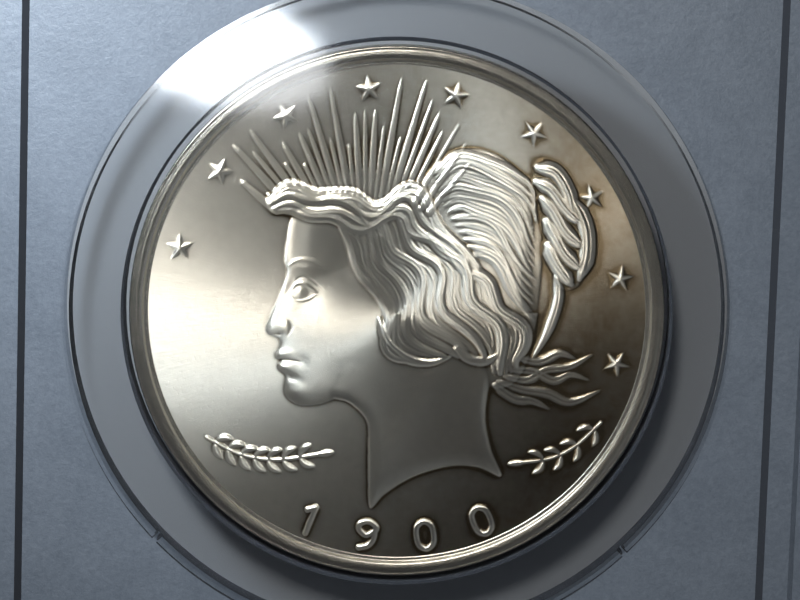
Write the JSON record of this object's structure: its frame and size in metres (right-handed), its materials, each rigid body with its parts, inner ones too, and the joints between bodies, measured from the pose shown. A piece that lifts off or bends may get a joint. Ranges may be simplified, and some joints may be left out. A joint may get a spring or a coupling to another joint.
{
  "type": "graded coin slab",
  "caption": "Sealed clear two-shell coin holder with stacking ridge and skirt, a clear centring ring, a large silver coin and a bare label card.",
  "frame": {"origin": "middle of the footprint, on the plane that the lying slab rests on, which is the foot of the rear skirt", "axes": "+Z out of the front window, +Y towards the label end, +X to the right of an upright label"},
  "size_m": [0.063, 0.085, 0.0068],
  "materials": {
    "clear_shell": "clear moulded plastic, polished over the coin and lightly frosted round it",
    "clear_ring": "clear and glossy",
    "coin_silver": "struck silver, lightly toned",
    "label_card": "bare matt card"
  },
  "bodies": {
    "slab": {"front_shell": "clear_shell", "rear_shell": "clear_shell", "coin_gasket": "clear_ring", "label_card": "label_card"},
    "coin": {"coin": "coin_silver"}
  },
  "joints": [
    {"name": "coin_turn", "type": "hinge", "parent": "slab", "child": "coin", "pos_m": [0, -0.0115, 0.0032], "axis": [0, 0, 1], "continuous": true}
  ]
}
